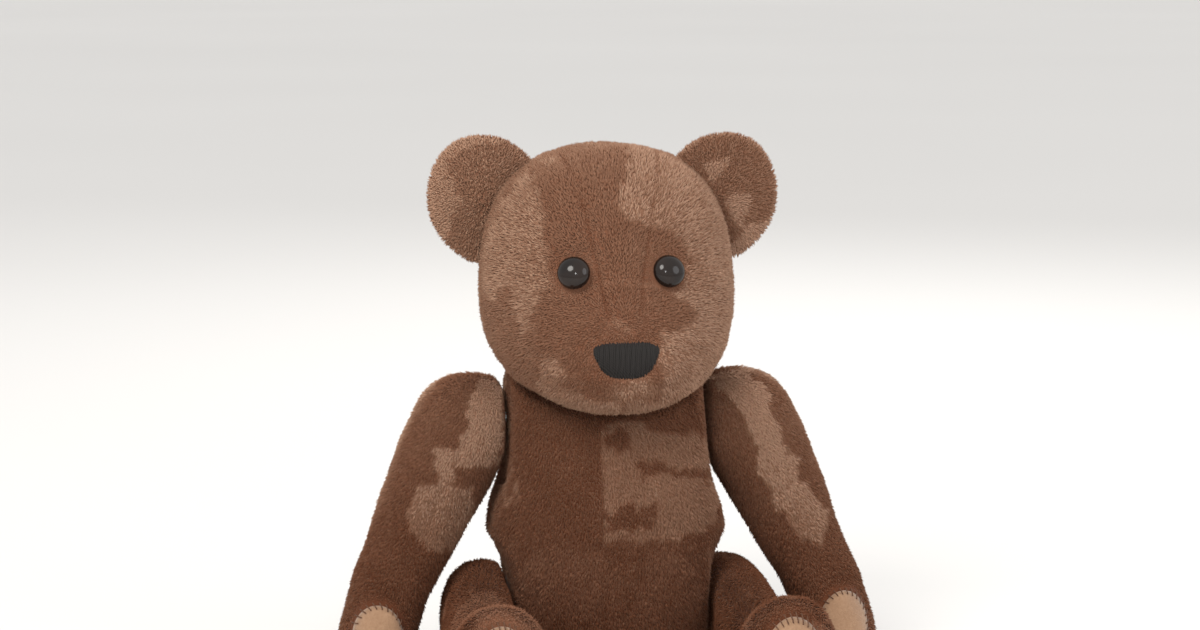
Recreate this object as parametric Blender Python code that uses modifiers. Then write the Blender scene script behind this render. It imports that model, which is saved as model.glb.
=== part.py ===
"""Jointed plush teddy bear, sitting on its flat seat.

Metres, +Z up.  The bear faces -Y and its own left side is +X.  The origin is on the
surface the bear sits on.  Tables and named sizes below are in millimetres.

A torso, a head, two arms and two legs, each a sewn plush cover with a moulded filling.
A disc joint holds each limb and the head to the torso: a limb disc and a body disc of
hardboard, clamped through both covers by a bolt, two washers and a nut.
"""
import math

import bmesh
import bpy
from mathutils import Matrix, Vector
from mathutils.bvhtree import BVHTree

MM = 0.001

# ---------------------------------------------------------------- driving dimensions
SHOULDER_HEIGHT = 138.0      # axis of both arms, above the seat
HIP_HEIGHT = 35.0            # axis of both legs, above the seat
JOINT_PLANE = 50.0           # where an arm or leg meets the torso, from the middle
NECK_HEIGHT = 165.0          # middle of the neck joint
NECK_TILT = math.radians(22)  # the neck axis leans forward, so the chin clears the chest
SKIN_GAP = 0.3               # each cover stays this far from its joint plane

CLOTH = 1.5                  # thickness of a plush cover
FILLING_INSET = 3.4          # outside of the filling below the outside of its cover

SHAFT_RADIUS = 2.5
DISC_THICKNESS = 3.0
WASHER_THICKNESS = 1.2
WASHER_RADIUS = 8.0
NUT_FLATS = 8.0
HEAD_FLATS = 8.0
CLEAR = 0.3                  # gap between neighbouring solids

EYE_RADIUS = 8.0
EYE_SPACING = 45.5
EYE_HEIGHT = 217.0
NOSE_WIDTH = 35.5
NOSE_TOP = 186.0
NOSE_BOTTOM = 168.5

EAR_CENTRE = Vector((58.0, 2.0, 246.5))
EAR_HALF = Vector((28.5, 7.5, 33.0))
EAR_LEAN = math.radians(24)   # the top of each ear leans outward
EAR_HOLLOW = 6.0             # depth of the cup in its front

AROUND_BODY = 22             # faces round the torso and the head
AROUND_LIMB = 16             # faces round an arm or a leg
HEAD_RINGS = 15              # faces from the crown to the neck

# ---------------------------------------------------------------- sections of the soft forms
# Torso: height, half width, half depth, middle in Y.
TORSO = (
    (0.0, 0.0, 0.0, 0.0),
    (0.0, 37.0, 33.0, 0.0),
    (3.5, 47.0, 42.0, 0.0),
    (12.0, 54.0, 48.5, -0.5),
    (26.0, 58.0, 52.0, -1.5),
    (43.0, 60.0, 53.5, -2.5),
    (66.5, 61.0, 54.0, -3.0),
    (81.0, 61.0, 54.0, -3.0),
    (95.0, 60.5, 53.0, -2.5),
    (109.0, 59.5, 51.0, -1.5),
    (124.0, 58.5, 48.0, 0.0),
    (138.0, 57.5, 45.5, 1.5),
    (150.0, 55.5, 42.5, 3.0),
    (160.0, 50.5, 38.5, 4.0),
    (169.0, 42.5, 33.5, 5.0),
    (177.0, 31.0, 25.0, 6.0),
    (182.0, 16.0, 13.0, 6.5),
    (184.0, 0.0, 0.0, 6.5),
)
# Arm, hanging: distance below the shoulder, inner and outer X, middle in Y, half width in Y.
ARM = (
    (-23.5, 70.0, 70.0, 0.0, 0.0),
    (-21.5, 57.0, 80.0, 0.0, 10.0),
    (-16.5, 47.0, 88.0, 0.0, 17.0),
    (-8.5, 41.0, 94.0, 0.0, 23.0),
    (2.0, 41.0, 99.0, 0.0, 25.5),
    (13.0, 42.0, 103.5, 0.0, 26.5),
    (25.0, 53.0, 108.0, 0.0, 27.0),
    (38.0, 61.0, 113.0, -0.5, 26.5),
    (51.0, 68.5, 117.5, -2.0, 25.5),
    (64.0, 76.0, 121.5, -4.5, 25.0),
    (77.0, 84.5, 127.0, -7.5, 24.5),
    (90.0, 91.5, 131.5, -11.0, 24.5),
    (102.0, 95.5, 135.0, -15.0, 24.0),
    (112.0, 98.5, 137.0, -18.0, 22.5),
    (120.0, 102.0, 136.5, -20.5, 19.0),
    (126.0, 107.5, 132.5, -22.0, 12.5),
    (128.5, 120.0, 120.0, -22.5, 0.0),
)
# Leg, pointing forward: distance in front of the hip, inner and outer X, middle above the
# hip, half height.
LEG = (
    (-31.0, 67.5, 67.5, 0.0, 0.0),
    (-28.5, 56.0, 75.5, 0.0, 12.5),
    (-22.0, 45.0, 80.0, 0.0, 22.0),
    (-11.0, 38.0, 82.5, 0.0, 29.0),
    (3.0, 38.0, 83.5, 0.0, 31.0),
    (19.0, 39.0, 84.0, -0.5, 31.0),
    (36.0, 42.0, 84.5, -1.5, 30.0),
    (53.0, 46.5, 85.5, -3.0, 28.0),
    (69.0, 48.5, 86.5, -4.5, 26.5),
    (84.0, 49.0, 87.5, -6.0, 25.5),
    (97.0, 48.5, 88.0, -6.5, 25.5),
    (108.0, 46.5, 89.5, -5.0, 27.0),
    (118.0, 44.5, 91.0, -0.5, 31.0),
    (128.0, 43.0, 92.5, 3.5, 35.0),
    (138.0, 43.0, 92.5, 5.0, 36.5),
    (145.0, 45.5, 90.0, 5.0, 34.0),
    (148.0, 50.0, 85.5, 5.0, 29.5),
    (148.0, 67.75, 67.75, 5.0, 0.0),
)
ROUNDNESS = 2.35             # 2 is an ellipse, larger is boxier

PARTS = "jointed_teddy_bear"
CUTTERS = "cutters"


# ---------------------------------------------------------------- scene, materials, objects
def clear_scene():
    for obj in list(bpy.data.objects):
        bpy.data.objects.remove(obj, do_unlink=True)
    for name in (PARTS, CUTTERS):
        bpy.context.scene.collection.children.link(bpy.data.collections.new(name))


def material(name, colour, roughness, metallic=0.0):
    """A Principled material, made once for each node."""
    mat = bpy.data.materials.new(name)
    mat.use_nodes = True
    shader = mat.node_tree.nodes["Principled BSDF"]
    shader.inputs["Base Color"].default_value = (*colour, 1.0)
    shader.inputs["Roughness"].default_value = roughness
    shader.inputs["Metallic"].default_value = metallic
    mat.diffuse_color = (*colour, 1.0)
    return mat


PLUSH_LIGHT = ((0.30, 0.17, 0.11), 0.95)
PLUSH_DARK = ((0.19, 0.10, 0.06), 0.95)
FILLING = ((0.85, 0.84, 0.80), 0.95)
FELT = ((0.36, 0.24, 0.15), 0.9)
BLACK_PLASTIC = ((0.01, 0.008, 0.007), 0.12)
BLACK_THREAD = ((0.03, 0.025, 0.022), 0.6)
HARDBOARD = ((0.33, 0.20, 0.10), 0.8)
STEEL = ((0.62, 0.62, 0.63), 0.35, 1.0)
NYLON = ((0.80, 0.79, 0.75), 0.5)


def add_object(name, mesh_maker, finish, pivot=Vector(), collection=PARTS):
    """Link a bmesh, given in world millimetres, as an object with its origin at the pivot."""
    bmesh.ops.translate(mesh_maker, verts=mesh_maker.verts, vec=-pivot)
    bmesh.ops.scale(mesh_maker, verts=mesh_maker.verts, vec=(MM, MM, MM))
    face_outward(mesh_maker)
    mesh = bpy.data.meshes.new(name)
    mesh_maker.to_mesh(mesh)
    mesh_maker.free()
    mesh.shade_smooth()
    mesh.set_sharp_from_angle(angle=math.radians(40))
    obj = bpy.data.objects.new(name, mesh)
    obj.location = pivot * MM
    bpy.data.collections[collection].objects.link(obj)
    if collection == CUTTERS:
        obj.hide_render = True
        obj.display_type = "WIRE"
    else:
        mesh.materials.append(material(name, *finish))
    return obj


def boolean(obj, cutter, operation="DIFFERENCE"):
    modifier = obj.modifiers.new(f"{operation.lower()}_{cutter.name}", "BOOLEAN")
    modifier.operation = operation
    modifier.solver = "EXACT"
    modifier.object = cutter


# ---------------------------------------------------------------- forms
def rounded_section(angle, half_a, half_b):
    """A point on a superellipse, between an ellipse and a rectangle."""
    c, s = math.cos(angle), math.sin(angle)
    reach = (abs(c) ** ROUNDNESS + abs(s) ** ROUNDNESS) ** (-1.0 / ROUNDNESS)
    return half_a * c * reach, half_b * s * reach


def loft(stations, around, place):
    """A sphere primitive whose rings are moved onto the stations, from pole to pole."""
    bm = bmesh.new()
    rings = len(stations) - 1
    bmesh.ops.create_uvsphere(bm, u_segments=around, v_segments=rings, radius=1.0)
    for vertex in bm.verts:
        x, y, z = vertex.co
        ring = round(math.acos(max(-1.0, min(1.0, -z))) / math.pi * rings)
        vertex.co = place(stations[ring], math.atan2(y, x))
    return bm


def face_outward(bm):
    if bm.calc_volume(signed=True) < 0.0:
        bmesh.ops.reverse_faces(bm, faces=bm.faces)
    bm.normal_update()


def inset(bm, depth):
    """Move every vertex inward along its normal."""
    face_outward(bm)
    moves = [(vertex, vertex.normal.copy()) for vertex in bm.verts]
    for vertex, normal in moves:
        vertex.co -= normal * depth
    return bm


def neck_normal():
    return Vector((0.0, -math.sin(NECK_TILT), math.cos(NECK_TILT)))


def torso_point(station, angle):
    """Pear-shaped body, drawn in at each disc joint and cut off by the neck plane."""
    height, half_width, half_depth, middle = station
    x, y = rounded_section(angle, half_width, half_depth)
    y += middle
    flat = JOINT_PLANE - SKIN_GAP
    from_shoulder = math.hypot(y, height - SHOULDER_HEIGHT)
    above_legs = height - (HIP_HEIGHT + 31.5 + 0.20 * max(0.0, -y))
    limit = min(flat + 0.70 * max(0.0, from_shoulder - 35.0), flat + 0.90 * max(0.0, above_legs))
    x = math.copysign(min(abs(x), limit), x)
    neck_plane = NECK_HEIGHT + math.tan(NECK_TILT) * y - SKIN_GAP / math.cos(NECK_TILT)
    return Vector((x, y, min(height, neck_plane)))


def arm_point(side):
    def place(station, angle):
        below, inner, outer, middle, half_depth = station
        x, y = rounded_section(angle, (outer - inner) / 2, half_depth)
        x = max(x + (inner + outer) / 2, JOINT_PLANE + SKIN_GAP)
        return Vector((side * x, y + middle, SHOULDER_HEIGHT - below))
    return place


def leg_point(side):
    def place(station, angle):
        ahead, inner, outer, middle, half_height = station
        x, z = rounded_section(angle, (outer - inner) / 2, half_height)
        x += (inner + outer) / 2
        if ahead < 100.0:
            x = max(x, JOINT_PLANE + SKIN_GAP)
        return Vector((side * x, -ahead, HIP_HEIGHT + middle + z))
    return place


def ellipsoid(point, centre, half, power=2.0):
    """Rough distance to a superellipsoid, negative inside."""
    scaled = [abs(point[i] - centre[i]) / half[i] for i in range(3)]
    return (sum(value ** power for value in scaled) ** (1.0 / power) - 1.0) * min(half)


def smooth_min(a, b, blend):
    h = max(blend - abs(a - b), 0.0) / blend
    return min(a, b) - h * h * blend / 4.0


def head_field(point):
    """Negative inside the head: a broad skull, full cheeks and a wide blunt muzzle."""
    skull = ellipsoid(point, (0.0, -4.0, 215.0), (62.5, 53.0, 60.5), 2.35)
    cheeks = ellipsoid(point, (0.0, -18.0, 183.0), (54.5, 48.0, 40.0), 2.5)
    muzzle = ellipsoid(point, (0.0, -52.0, 173.0), (37.0, 30.0, 27.0), 2.3)
    soft = smooth_min(smooth_min(skull, cheeks, 18.0), muzzle, 14.0)
    middle = Vector((0.0, 0.0, NECK_HEIGHT))
    below_neck = SKIN_GAP - (point - middle).dot(neck_normal())
    return -smooth_min(-soft, -below_neck, 9.0)


HEAD_MIDDLE = Vector((0.0, -14.0, 208.0))


def reach_of(field, start, direction, far=130.0):
    """Distance from a point inside the field to its surface, by halving."""
    near = 0.0
    for _ in range(30):
        middle = (near + far) / 2
        if field(start + direction * middle) < 0.0:
            near = middle
        else:
            far = middle
    return near


def head_form(extra=0.0):
    bm = bmesh.new()
    bmesh.ops.create_uvsphere(bm, u_segments=AROUND_BODY, v_segments=HEAD_RINGS, radius=1.0)
    neck_middle = Vector((0.0, 0.0, NECK_HEIGHT))
    for vertex in bm.verts:
        direction = vertex.co.normalized()
        place = HEAD_MIDDLE + direction * (reach_of(head_field, HEAD_MIDDLE, direction) + extra)
        height = (place - neck_middle).dot(neck_normal())
        if height < 1.2 and extra == 0.0:
            place += neck_normal() * (SKIN_GAP - height)
        vertex.co = place
    return bm


# ---------------------------------------------------------------- turned hardware
def turned(profile, around):
    """A closed or axis-touching profile of (radius, height) spun about Z."""
    bm = bmesh.new()
    points = [bm.verts.new((radius, 0.0, height)) for radius, height in profile]
    closed = min(radius for radius, _ in profile) > 0.0
    ends = zip(points, points[1:] + points[:1]) if closed else zip(points, points[1:])
    for a, b in ends:
        bm.edges.new((a, b))
    bmesh.ops.spin(
        bm, geom=bm.verts[:] + bm.edges[:], cent=(0, 0, 0), axis=(0, 0, 1),
        angle=math.tau, steps=around, use_merge=True,
    )
    bmesh.ops.remove_doubles(bm, verts=bm.verts, dist=0.001)
    return bm


def ring(inner, outer, low, high, around=12):
    return turned(((inner, low), (outer, low), (outer, high), (inner, high)), around)


def rod(radius, low, high, around=12, corners=None):
    bm = bmesh.new()
    bmesh.ops.create_cone(
        bm, cap_ends=True, segments=corners or around, radius1=radius, radius2=radius,
        depth=high - low, matrix=Matrix.Translation((0, 0, (low + high) / 2)),
    )
    return bm


def hexagon(flats, low, high):
    return rod(flats / math.sqrt(3.0), low, high, corners=6)


class Joint:
    """Where one limb or the head meets the torso: a pivot and the axis out of the torso."""

    def __init__(self, name, pivot, axis, disc_radius):
        self.name, self.pivot, self.disc_radius = name, pivot, disc_radius
        turn = axis.to_track_quat("Z", "Y").to_matrix().to_4x4()
        self.frame = Matrix.Translation(pivot) @ turn

    def add(self, name, bm, finish=None, collection=PARTS):
        bmesh.ops.transform(bm, matrix=self.frame, verts=bm.verts)
        return add_object(name, bm, finish, self.pivot, collection)

    def cutter(self, suffix, bm):
        return self.add(f"{self.name}_{suffix}", bm, collection=CUTTERS)


DISC_FACE = SKIN_GAP + CLOTH + CLEAR                       # from the joint plane to a disc
WASHER_FACE = DISC_FACE + DISC_THICKNESS + CLEAR
HARDWARE_FACE = WASHER_FACE + WASHER_THICKNESS + CLEAR     # under the bolt head, or the nut
HEAD_END = HARDWARE_FACE + 4.0
NUT_END = HARDWARE_FACE + 4.5
SHAFT_END = NUT_END + 2.5


def joint_cutters(joint):
    """The hole through both covers, and the pocket in each filling for its disc."""
    hole = joint.cutter("hole", rod(SHAFT_RADIUS + 0.7, -4.0, 4.0))
    pockets = []
    for side, suffix, end in ((1, "outer_pocket", HEAD_END), (-1, "inner_pocket", SHAFT_END)):
        wide = joint.disc_radius + CLEAR
        step = WASHER_FACE
        profile = (
            (0.0, -side * 4.0), (wide, -side * 4.0), (wide, side * step),
            (WASHER_RADIUS + CLEAR, side * step), (WASHER_RADIUS + CLEAR, side * (end + CLEAR)),
            (0.0, side * (end + CLEAR)),
        )
        pockets.append(joint.cutter(suffix, turned(profile, 16)))
    return hole, pockets[0], pockets[1]


def joint_hardware(joint):
    """Two discs, two washers, a hexagon-headed bolt and its locknut."""
    disc = joint.disc_radius
    joint.add(f"{joint.name}_limb_disc",
              ring(SHAFT_RADIUS + 0.5, disc, DISC_FACE, DISC_FACE + DISC_THICKNESS, 16), HARDBOARD)
    joint.add(f"{joint.name}_body_disc",
              ring(SHAFT_RADIUS + 0.5, disc, -DISC_FACE - DISC_THICKNESS, -DISC_FACE, 16), HARDBOARD)
    for suffix, low in (("limb_washer", WASHER_FACE), ("body_washer", -WASHER_FACE - WASHER_THICKNESS)):
        joint.add(f"{joint.name}_{suffix}",
                  ring(SHAFT_RADIUS + 0.4, WASHER_RADIUS, low, low + WASHER_THICKNESS), STEEL)
    bolt = joint.add(f"{joint.name}_bolt", hexagon(HEAD_FLATS, HARDWARE_FACE, HEAD_END), STEEL)
    shaft = joint.cutter("shaft", rod(SHAFT_RADIUS, -SHAFT_END, HARDWARE_FACE + 1.0, 12))
    boolean(bolt, shaft, "UNION")
    nut = joint.add(f"{joint.name}_nut", hexagon(NUT_FLATS, -NUT_END, -HARDWARE_FACE), STEEL)
    boolean(nut, joint.cutter("thread", rod(SHAFT_RADIUS + 0.3, -NUT_END - 2.0, 0.0, 12)))


# ---------------------------------------------------------------- covers and fillings
def cover(name, bm, finish, pivot, holes):
    """An outer form made into a cloth shell, with a hole for each bolt or shank."""
    obj = add_object(name, bm, finish, pivot)
    shell = obj.modifiers.new("cloth", "SOLIDIFY")
    shell.thickness = CLOTH * MM
    shell.offset = -1.0
    for hole in holes:
        boolean(obj, hole)
    return obj


def filling(name, bm, pivot, pockets):
    """The moulded filling under a cover, with a pocket for each piece it surrounds."""
    obj = add_object(name, inset(bm, FILLING_INSET), FILLING, pivot)
    for pocket in pockets:
        boolean(obj, pocket)
    return obj


def surface_tree(obj):
    bm = bmesh.new()
    bm.from_mesh(obj.data)
    bmesh.ops.scale(bm, verts=bm.verts, vec=(1 / MM, 1 / MM, 1 / MM))
    bmesh.ops.translate(bm, verts=bm.verts, vec=obj.location / MM)
    tree = BVHTree.FromBMesh(bm)
    bm.free()
    return tree


def pad(name, base, centre, forward, half_u, half_v, thickness, finish, lift=1.0, shape=None):
    """A thin patch laid on a cover: a round grid dropped onto it and given a thickness."""
    tree = surface_tree(base)
    up = Vector((0.0, 0.0, 1.0))
    across = up.cross(forward).normalized()
    rise = forward.cross(across).normalized()
    bm = bmesh.new()
    bmesh.ops.create_grid(bm, x_segments=6, y_segments=6, size=1.0)
    for vertex in bm.verts:
        u, v = vertex.co.x, vertex.co.y
        u, v = (shape or disc_from_square)(u, v)
        start = centre + across * (u * half_u) + rise * (v * half_v) + forward * 60.0
        hit = tree.ray_cast(start, -forward)[0]
        vertex.co = hit + forward * lift
    obj = add_object(name, bm, finish, base.location / MM)
    if obj.data.polygons[0].normal.dot(forward) < 0.0:
        obj.data.flip_normals()
    skin = obj.modifiers.new("pad", "SOLIDIFY")
    skin.thickness = thickness * MM
    skin.offset = 1.0
    return obj


def disc_from_square(u, v):
    """Maps the unit square onto the unit disc with no folded corners."""
    return u * math.sqrt(1.0 - v * v / 2.0), v * math.sqrt(1.0 - u * u / 2.0)


def nose_outline(u, v):
    """A flat top, rounded corners and sides that taper to a blunt tip."""
    x, y = disc_from_square(u, v)
    stretch = 1.0 + 0.16 * math.sin(2.0 * math.atan2(abs(y), abs(x))) ** 2
    x, y = x * stretch, y * stretch
    taper = 1.0 - 0.42 * max(0.0, (1.0 - y) / 2.0) ** 1.2
    return x * taper, y


# ---------------------------------------------------------------- the bear
def build_torso(joints, cuts):
    seat = Vector((0.0, 0.0, 0.0))
    holes = [cuts[joint.name][0] for joint in joints]
    pockets = [cuts[joint.name][2] for joint in joints]
    cover("torso_cover", loft(TORSO, AROUND_BODY, torso_point), PLUSH_DARK, seat, holes)
    filling("torso_stuffing", loft(TORSO, AROUND_BODY, torso_point), seat, pockets)


def eye_frame(side):
    """Where an eye sits: on the face, turned half way from straight ahead to its slope."""
    ahead = Vector((0.0, -1.0, 0.0))
    start = Vector((side * EYE_SPACING / 2, -10.0, EYE_HEIGHT))
    place = start + ahead * reach_of(head_field, start, ahead)
    slope = Vector([
        head_field(place + step) - head_field(place - step)
        for step in (Vector((0.5, 0, 0)), Vector((0, 0.5, 0)), Vector((0, 0, 0.5)))
    ]).normalized()
    return place, slope


def build_eye(side, word):
    """A domed safety eye on a shank, and the washer that grips the shank inside."""
    place, axis = eye_frame(side)
    joint = Joint(f"eye_{word}", place, axis, 0.0)
    joint.pivot = Vector((0.0, 0.0, NECK_HEIGHT))
    base = 0.5
    dome = [(EYE_RADIUS * math.sin(a), base + 0.9 + 5.6 * math.cos(a))
            for a in (math.radians(step) for step in (0, 25, 48, 70, 90))]
    profile = dome + [(EYE_RADIUS - 0.7, base), (1.9, base), (1.9, -9.0), (0.0, -9.0)]
    joint.add(f"eye_{word}", turned(profile, 16), BLACK_PLASTIC)
    joint.add(f"eye_washer_{word}", ring(2.2, 6.0, -4.8, -3.4), NYLON)
    hole = joint.cutter("hole", rod(2.5, -4.0, 3.0, 12))
    pocket = joint.cutter("pocket", rod(6.5, -9.6, 6.0))
    return hole, pocket


def build_ear(side, word, pivot):
    """A round cupped ear with its lower edge sewn along the side of the head."""
    bm = bmesh.new()
    bmesh.ops.create_uvsphere(bm, u_segments=18, v_segments=12, radius=1.0)
    for vertex in bm.verts:
        x, y, z = vertex.co
        hollow = EAR_HOLLOW * (1.0 - min(1.0, x * x + z * z)) if y < 0.0 else 0.0
        vertex.co = Vector((x * EAR_HALF.x, y * EAR_HALF.y + hollow, z * EAR_HALF.z))
    lean = Matrix.Rotation(side * EAR_LEAN, 4, "Y")
    spot = Vector((side * EAR_CENTRE.x, EAR_CENTRE.y, EAR_CENTRE.z))
    bmesh.ops.transform(bm, matrix=Matrix.Translation(spot) @ lean, verts=bm.verts)
    ear = add_object(f"ear_{word}", bm, PLUSH_LIGHT, pivot)
    boolean(ear, bpy.data.objects["head_room"])


def build_head(neck, cuts):
    pivot = neck.pivot
    eyes = [build_eye(side, word) for side, word in SIDES]
    holes = [cuts["neck"][0]] + [hole for hole, _ in eyes]
    pockets = [cuts["neck"][1]] + [pocket for _, pocket in eyes]
    skin = cover("head_cover", head_form(), PLUSH_LIGHT, pivot, holes)
    filling("head_stuffing", head_form(), pivot, pockets)
    add_object("head_room", head_form(extra=0.45), None, pivot, CUTTERS)
    for side, word in SIDES:
        build_ear(side, word, pivot)
    nose_middle = Vector((0.0, 0.0, (NOSE_TOP + NOSE_BOTTOM) / 2))
    pad("nose", skin, nose_middle + Vector((0, -60, 0)), Vector((0, -1, 0)), NOSE_WIDTH / 2,
        (NOSE_TOP - NOSE_BOTTOM) / 2, 2.0, BLACK_THREAD, shape=nose_outline)


def build_arm(side, word, joint, cuts):
    hole, pocket, _ = cuts[joint.name]
    skin = cover(f"arm_cover_{word}", loft(ARM, AROUND_LIMB, arm_point(side)), PLUSH_DARK,
                 joint.pivot, [hole])
    core = loft(ARM, AROUND_LIMB, arm_point(side))
    filling(f"arm_stuffing_{word}", core, joint.pivot, [pocket])
    palm = Vector((side * 116.0, -40.0, SHOULDER_HEIGHT - 103.0))
    facing = Vector((side * -0.10, -1.0, 0.10)).normalized()
    pad(f"paw_pad_{word}", skin, palm, facing, 12.5, 17.0, 1.2, FELT)


def build_leg(side, word, joint, cuts):
    hole, pocket, _ = cuts[joint.name]
    skin = cover(f"leg_cover_{word}", loft(LEG, AROUND_LIMB, leg_point(side)), PLUSH_DARK,
                 joint.pivot, [hole])
    core = loft(LEG, AROUND_LIMB, leg_point(side))
    filling(f"leg_stuffing_{word}", core, joint.pivot, [pocket])
    sole = Vector((side * 67.75, -148.0, HIP_HEIGHT + 5.0))
    pad(f"foot_pad_{word}", skin, sole, Vector((0, -1, 0)), 16.0, 27.0, 1.2, FELT)


SIDES = ((1, "left"), (-1, "right"))


def build_bear():
    clear_scene()
    neck = Joint("neck", Vector((0.0, 0.0, NECK_HEIGHT)), neck_normal(), 20.0)
    joints = [neck]
    for side, word in SIDES:
        out = Vector((side, 0.0, 0.0))
        shoulder = Vector((side * JOINT_PLANE, 0.0, SHOULDER_HEIGHT))
        hip = Vector((side * JOINT_PLANE, 0.0, HIP_HEIGHT))
        joints.append(Joint(f"shoulder_{word}", shoulder, out, 14.0))
        joints.append(Joint(f"hip_{word}", hip, out, 20.0))
    cuts = {joint.name: joint_cutters(joint) for joint in joints}
    for joint in joints:
        joint_hardware(joint)
    by_name = {joint.name: joint for joint in joints}
    build_torso(joints, cuts)
    build_head(neck, cuts)
    for side, word in SIDES:
        build_arm(side, word, by_name[f"shoulder_{word}"], cuts)
        build_leg(side, word, by_name[f"hip_{word}"], cuts)


build_bear()
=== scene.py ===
import math

import bmesh
import bpy
import numpy as np
from mathutils import Matrix, Vector, noise
from mathutils.bvhtree import BVHTree
from mathutils.kdtree import KDTree


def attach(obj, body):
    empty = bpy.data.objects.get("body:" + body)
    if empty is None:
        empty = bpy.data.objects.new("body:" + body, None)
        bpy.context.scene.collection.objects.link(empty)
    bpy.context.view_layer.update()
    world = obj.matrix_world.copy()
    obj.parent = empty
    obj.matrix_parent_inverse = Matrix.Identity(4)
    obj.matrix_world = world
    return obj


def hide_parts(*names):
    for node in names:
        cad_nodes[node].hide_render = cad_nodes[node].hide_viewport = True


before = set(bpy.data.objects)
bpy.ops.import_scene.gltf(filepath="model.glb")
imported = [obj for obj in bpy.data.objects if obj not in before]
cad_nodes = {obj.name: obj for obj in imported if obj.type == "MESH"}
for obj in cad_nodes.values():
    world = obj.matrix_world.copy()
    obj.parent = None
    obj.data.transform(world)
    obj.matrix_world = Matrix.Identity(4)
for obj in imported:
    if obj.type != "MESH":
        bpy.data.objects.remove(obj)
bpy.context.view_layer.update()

# ---------------------------------------------------------------- the room
# A pale seamless table top under the bear, lit by a large soft box above and to one side,
# a weaker one opposite and a small lamp by the camera that puts the sparkle in the eyes.


def from_screen(red, green, blue):
    """A colour read from a screen, 0 to 255, as the linear light that a shader wants."""
    shares = [value / 255 for value in (red, green, blue)]
    return [s / 12.92 if s <= 0.04045 else ((s + 0.055) / 1.055) ** 2.4 for s in shares]


class Wire:
    """The value on one socket, so that a pattern can be written as arithmetic."""

    def __init__(self, finish, socket):
        self.finish = finish
        self.socket = socket

    def maths(self, operation, first, second):
        return self.finish.node("ShaderNodeMath", {"operation": operation}, {0: first, 1: second})

    def __add__(self, other):
        return self.maths("ADD", self, other)

    def __radd__(self, other):
        return self.maths("ADD", other, self)

    def __sub__(self, other):
        return self.maths("SUBTRACT", self, other)

    def __mul__(self, other):
        return self.maths("MULTIPLY", self, other)


class Finish:
    """A material with one Principled shader and the nodes that feed it."""

    def __init__(self, name, constants):
        self.material = bpy.data.materials.new(name)
        self.material.use_nodes = True
        self.tree = self.material.node_tree
        self.shader = self.tree.nodes["Principled BSDF"]
        for socket, value in constants.items():
            self.shader.inputs[socket].default_value = value

    def node(self, kind, settings, inputs, output=0):
        made = self.tree.nodes.new(kind)
        for name, value in settings.items():
            if name == "stops":
                ramp = made.color_ramp
                while len(ramp.elements) < len(value):
                    ramp.elements.new(0.5)
                for element, (place, colour) in zip(ramp.elements, value):
                    element.position = place
                    element.color = (*colour, 1)
            else:
                setattr(made, name, value)
        for name, value in inputs.items():
            if isinstance(value, Wire):
                self.tree.links.new(value.socket, made.inputs[name])
            else:
                made.inputs[name].default_value = value
        return Wire(self, made.outputs[output])

    def place(self):
        return self.node("ShaderNodeTexCoord", {}, {}, "Object")

    def grain(self, scale, detail=3.0, roughness=0.5):
        inputs = {"Vector": self.place(), "Scale": scale, "Detail": detail, "Roughness": roughness}
        return self.node("ShaderNodeTexNoise", {}, inputs, "Fac")

    def feed(self, socket, wire):
        self.tree.links.new(wire.socket, self.shader.inputs[socket])

    def dye(self, factor, *stops):
        """A base colour that runs through colours read from a screen as the factor rises."""
        stops = [(place, from_screen(*colour)) for place, colour in stops]
        self.feed("Base Color", self.node("ShaderNodeValToRGB", {"stops": stops}, {"Fac": factor}))

    def emboss(self, height, strength, distance):
        inputs = {"Height": height, "Strength": strength, "Distance": distance}
        self.feed("Normal", self.node("ShaderNodeBump", {}, inputs))


def in_scene(name, data):
    """A new object in the scene."""
    made = bpy.data.objects.new(name, data)
    bpy.context.scene.collection.objects.link(made)
    return made


table_finish = Finish("pale_table", {"Roughness": 0.75, "Specular IOR Level": 0.2})
table_stops = [(0.3, (0.725, 0.72, 0.71)), (0.7, (0.74, 0.735, 0.725))]
table_finish.feed("Base Color", table_finish.node("ShaderNodeValToRGB", {"stops": table_stops},
                                                  {"Fac": table_finish.grain(0.9, 1.0)}))
table_half = 12
table_level = -0.0004
table_mesh = bpy.data.meshes.new("table_top")
table_mesh.from_pydata([(across * table_half, back * table_half, table_level)
                        for across, back in ((-1, -1), (1, -1), (1, 1), (-1, 1))], [], [(0, 1, 2, 3)])
table_mesh.materials.append(table_finish.material)
in_scene("table_top", table_mesh)

room = bpy.data.worlds.new("soft_room")
room.use_nodes = True
daylight = room.node_tree.nodes["Background"].inputs
daylight["Color"].default_value = (1.0, 0.985, 0.97, 1)
daylight["Strength"].default_value = 0.96
bpy.context.scene.world = room
bpy.context.scene.view_settings.view_transform = "Standard"


def lamp(name, place, size, power, colour):
    light = bpy.data.lights.new(name, "AREA")
    light.shape = "DISK"
    light.size = size
    light.energy = power
    light.color = colour
    holder = in_scene(name, light)
    holder.location = place
    aim = Vector((0, 0, 0.15)) - Vector(place)
    holder.rotation_euler = aim.to_track_quat("-Z", "Y").to_euler()


lamp("key_box", (-0.9, -1.3, 1.5), 0.9, 24.0, (1.0, 0.96, 0.91))
lamp("fill_box", (1.3, -1.0, 0.8), 1.0, 6.0, (0.95, 0.97, 1.0))
lamp("back_box", (0.5, 1.3, 1.2), 0.8, 8.0, (1.0, 0.98, 0.95))
lamp("sparkle", (-0.10, -1.35, 0.62), 0.12, 1.6, (1.0, 1.0, 1.0))

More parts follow.
